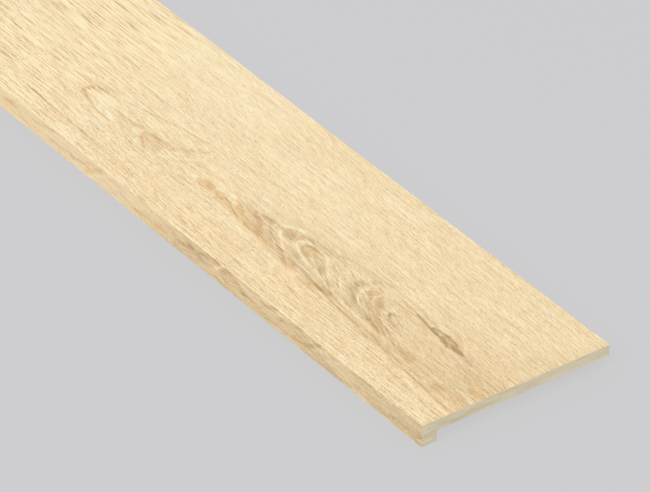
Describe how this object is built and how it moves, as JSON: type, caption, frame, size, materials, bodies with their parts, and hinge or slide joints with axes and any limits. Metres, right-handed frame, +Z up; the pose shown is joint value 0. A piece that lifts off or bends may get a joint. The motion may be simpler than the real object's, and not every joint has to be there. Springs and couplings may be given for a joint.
{
  "type": "stair tread",
  "caption": "Full wood stair tread: a flat board with a square nosing strip glued under its front edge, to lay over a step.",
  "frame": {"origin": "middle of the footprint, level with the underside of the nosing strip", "axes": "+X along the step, -Y out of the nosing's front face, +Z up through the walking face"},
  "size_m": [1.3, 0.32, 0.036],
  "materials": {
    "board_wood": "matt lacquered light oak face on a pale ply core",
    "strip_wood": "matt lacquered light oak face on a pale ply core"
  },
  "bodies": {
    "root": {"tread_board": "board_wood", "nosing_strip": "strip_wood"}
  },
  "joints": []
}
